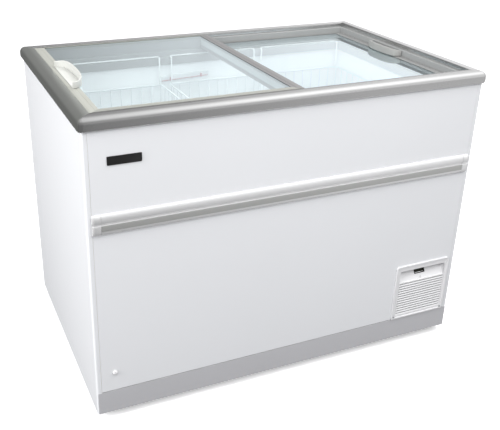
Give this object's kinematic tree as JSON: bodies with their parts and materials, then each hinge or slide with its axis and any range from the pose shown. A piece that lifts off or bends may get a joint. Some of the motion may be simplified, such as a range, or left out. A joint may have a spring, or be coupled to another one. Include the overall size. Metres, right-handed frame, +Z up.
{
  "type": "ice cream display freezer",
  "caption": "White chest freezer for ice cream with sliding glass lids in an aluminium rim, lift-out wire baskets, a front grille with controller, and castors under the base.",
  "frame": {"origin": "on the floor under the middle of the overall box", "axes": "+X to the viewer's right when facing the front, -Y out of the front, +Z up"},
  "size_m": [1.177, 0.7586, 0.896],
  "materials": {
    "white_paint": "satin powder coat",
    "liner_white": "satin coated sheet",
    "anodised_aluminium": "satin anodised",
    "collar_grey": "satin",
    "lid_frame_grey": "satin",
    "lid_bar_grey": "brushed",
    "lid_glass": "clear, faint green tint",
    "kick_grey": "satin",
    "white_plastic": "satin",
    "black_plastic": "satin",
    "display_dark": "glossy",
    "pu_foam": "rough foam",
    "galvanised_steel": "zinc coated",
    "copper": "drawn copper tube",
    "white_wire": "plastic dipped wire",
    "grey_rubber": "matt",
    "grey_brush": "pile"
  },
  "bodies": {
    "cabinet": {"base_frame": "galvanised_steel", "left_side_panel": "white_paint", "right_side_panel": "white_paint", "front_panel": "white_paint", "rear_panel": "white_paint", "kick_plate": "kick_grey", "foam_insulation": "pu_foam", "inner_liner": "liner_white", "drain_hose": "white_plastic", "rim_front": "anodised_aluminium", "rim_rear": "anodised_aluminium", "rim_left": "anodised_aluminium", "rim_right": "anodised_aluminium", "lid_track_collar": "collar_grey", "bumper_rail": "anodised_aluminium", "bumper_cap_left": "white_plastic", "bumper_cap_right": "white_plastic", "badge_plate": "black_plastic", "grille_panel": "white_plastic", "temperature_controller": "display_dark", "grille_screw_left": "galvanised_steel", "grille_screw_right": "galvanised_steel", "thermometer": "white_plastic", "compressor": "black_plastic", "relay_box": "black_plastic", "condenser_coil": "galvanised_steel", "fan_shroud": "galvanised_steel", "fan_motor": "black_plastic", "filter_drier": "copper", "discharge_pipe": "copper", "evaporator_tube": "copper", "power_cord": "black_plastic"},
    "left_lid": {"left_lid_front_profile": "lid_frame_grey", "left_lid_rear_profile": "lid_frame_grey", "left_lid_end_profile": "lid_frame_grey", "left_lid_overlap_profile": "lid_bar_grey", "left_lid_glass": "lid_glass", "left_lid_handle": "lid_frame_grey", "lid_overlap_brush": "grey_brush"},
    "right_lid": {"right_lid_front_profile": "lid_frame_grey", "right_lid_rear_profile": "lid_frame_grey", "right_lid_end_profile": "lid_frame_grey", "right_lid_overlap_profile": "lid_bar_grey", "right_lid_glass": "lid_glass", "right_lid_handle": "lid_frame_grey"},
    "basket_left_body": {"basket_left": "white_wire"},
    "basket_centre_body": {"basket_centre": "white_wire"},
    "basket_right_body": {"basket_right": "white_wire"},
    "fan": {"fan_blade": "black_plastic"},
    "button": {"power_button": "white_plastic"},
    "drain_cap_body": {"drain_cap": "white_plastic"},
    "drain_stopper_body": {"drain_stopper": "grey_rubber"},
    "castor_front_left": {"castor_front_left_fork": "galvanised_steel"},
    "castor_front_left_roller": {"castor_front_left_wheel": "grey_rubber"},
    "castor_front_right": {"castor_front_right_fork": "galvanised_steel"},
    "castor_front_right_roller": {"castor_front_right_wheel": "grey_rubber"},
    "castor_rear_left": {"castor_rear_left_fork": "galvanised_steel"},
    "castor_rear_left_roller": {"castor_rear_left_wheel": "grey_rubber"},
    "castor_rear_right": {"castor_rear_right_fork": "galvanised_steel"},
    "castor_rear_right_roller": {"castor_rear_right_wheel": "grey_rubber"}
  },
  "joints": [
    {"name": "left_lid_slide", "type": "slide", "parent": "cabinet", "child": "left_lid", "axis": [1, 0, 0], "range_m": [0, 0.475]},
    {"name": "right_lid_slide", "type": "slide", "parent": "cabinet", "child": "right_lid", "axis": [-1, 0, 0], "range_m": [0, 0.475]},
    {"name": "basket_left_lift", "type": "slide", "parent": "cabinet", "child": "basket_left_body", "axis": [0, 0, 1], "range_m": [0, 0.009]},
    {"name": "basket_centre_lift", "type": "slide", "parent": "cabinet", "child": "basket_centre_body", "axis": [0, 0, 1], "range_m": [0, 0.009]},
    {"name": "basket_right_lift", "type": "slide", "parent": "cabinet", "child": "basket_right_body", "axis": [0, 0, 1], "range_m": [0, 0.009]},
    {"name": "fan_spin", "type": "hinge", "parent": "cabinet", "child": "fan", "pos_m": [0.425, -0.2367, 0.201], "axis": [0, 1, 0], "continuous": true},
    {"name": "power_button_press", "type": "slide", "parent": "cabinet", "child": "button", "axis": [0, 0.8899, -0.4561], "range_m": [0, 0.0013]},
    {"name": "drain_cap_pull", "type": "slide", "parent": "cabinet", "child": "drain_cap_body", "axis": [0, -1, 0], "range_m": [0, 0.03]},
    {"name": "drain_stopper_lift", "type": "slide", "parent": "cabinet", "child": "drain_stopper_body", "axis": [0, 0, 1], "range_m": [0, 0.06]},
    {"name": "castor_front_left_swivel", "type": "hinge", "parent": "cabinet", "child": "castor_front_left", "pos_m": [-0.5, -0.2867, 0.0882], "axis": [0, 0, 1], "continuous": true},
    {"name": "castor_front_left_roll", "type": "hinge", "parent": "castor_front_left", "child": "castor_front_left_roller", "pos_m": [-0.5, -0.2587, 0.0315], "axis": [1, 0, 0], "continuous": true},
    {"name": "castor_front_right_swivel", "type": "hinge", "parent": "cabinet", "child": "castor_front_right", "pos_m": [0.5, -0.2867, 0.0882], "axis": [0, 0, 1], "continuous": true},
    {"name": "castor_front_right_roll", "type": "hinge", "parent": "castor_front_right", "child": "castor_front_right_roller", "pos_m": [0.5, -0.2587, 0.0315], "axis": [1, 0, 0], "continuous": true},
    {"name": "castor_rear_left_swivel", "type": "hinge", "parent": "cabinet", "child": "castor_rear_left", "pos_m": [-0.5, 0.2833, 0.0882], "axis": [0, 0, 1], "continuous": true},
    {"name": "castor_rear_left_roll", "type": "hinge", "parent": "castor_rear_left", "child": "castor_rear_left_roller", "pos_m": [-0.5, 0.2553, 0.0315], "axis": [1, 0, 0], "continuous": true},
    {"name": "castor_rear_right_swivel", "type": "hinge", "parent": "cabinet", "child": "castor_rear_right", "pos_m": [0.5, 0.2833, 0.0882], "axis": [0, 0, 1], "continuous": true},
    {"name": "castor_rear_right_roll", "type": "hinge", "parent": "castor_rear_right", "child": "castor_rear_right_roller", "pos_m": [0.5, 0.2553, 0.0315], "axis": [1, 0, 0], "continuous": true}
  ]
}
